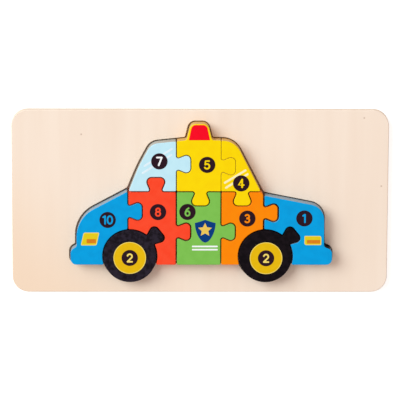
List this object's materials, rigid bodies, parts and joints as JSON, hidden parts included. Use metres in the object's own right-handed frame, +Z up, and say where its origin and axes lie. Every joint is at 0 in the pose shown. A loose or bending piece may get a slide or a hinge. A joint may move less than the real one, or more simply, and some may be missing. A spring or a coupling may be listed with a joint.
{
  "type": "wooden jigsaw puzzle",
  "caption": "Shallow wooden tray with a car-shaped recess, filled by thick interlocking painted blocks that stand proud and lift out one by one.",
  "frame": {"origin": "middle of the tray's underside", "axes": "+X along the tray towards the car's boot, +Y across the tray towards the car's roof, +Z up out of the tray"},
  "size_m": [0.3, 0.148, 0.019],
  "materials": {
    "plywood": "sanded pale plywood, bare",
    "blue_block": "satin paint on top, a thin wash of it on the wood sides",
    "black_block": "satin black stain all round",
    "red_block": "satin paint on top, a thin wash of it on the wood sides",
    "pale_blue_block": "satin paint on top, a thin wash of it on the wood sides",
    "yellow_block": "satin paint on top, a thin wash of it on the wood sides",
    "green_block": "satin paint on top, a thin wash of it on the wood sides",
    "orange_block": "satin paint on top, a thin wash of it on the wood sides"
  },
  "bodies": {
    "tray": {"tray_frame": "plywood", "tray_backing": "plywood"},
    "bonnet": {"bonnet_block": "blue_block"},
    "front_wheel": {"front_wheel_block": "black_block"},
    "front_door": {"front_door_block": "red_block"},
    "windscreen": {"windscreen_block": "pale_blue_block"},
    "roof": {"roof_block": "yellow_block"},
    "middle_door": {"middle_door_block": "green_block"},
    "rear_window": {"rear_window_block": "yellow_block"},
    "rear_door": {"rear_door_block": "orange_block"},
    "boot": {"boot_block": "blue_block"},
    "rear_wheel": {"rear_wheel_block": "black_block"}
  },
  "joints": [
    {"name": "bonnet_lift", "type": "slide", "parent": "tray", "child": "bonnet", "axis": [0, 0, 1], "range_m": [0, 0.03]},
    {"name": "front_wheel_lift", "type": "slide", "parent": "tray", "child": "front_wheel", "axis": [0, 0, 1], "range_m": [0, 0.03]},
    {"name": "front_door_lift", "type": "slide", "parent": "tray", "child": "front_door", "axis": [0, 0, 1], "range_m": [0, 0.03]},
    {"name": "windscreen_lift", "type": "slide", "parent": "tray", "child": "windscreen", "axis": [0, 0, 1], "range_m": [0, 0.03]},
    {"name": "roof_lift", "type": "slide", "parent": "tray", "child": "roof", "axis": [0, 0, 1], "range_m": [0, 0.03]},
    {"name": "middle_door_lift", "type": "slide", "parent": "tray", "child": "middle_door", "axis": [0, 0, 1], "range_m": [0, 0.03]},
    {"name": "rear_window_lift", "type": "slide", "parent": "tray", "child": "rear_window", "axis": [0, 0, 1], "range_m": [0, 0.03]},
    {"name": "rear_door_lift", "type": "slide", "parent": "tray", "child": "rear_door", "axis": [0, 0, 1], "range_m": [0, 0.03]},
    {"name": "boot_lift", "type": "slide", "parent": "tray", "child": "boot", "axis": [0, 0, 1], "range_m": [0, 0.03]},
    {"name": "rear_wheel_lift", "type": "slide", "parent": "tray", "child": "rear_wheel", "axis": [0, 0, 1], "range_m": [0, 0.03]}
  ]
}
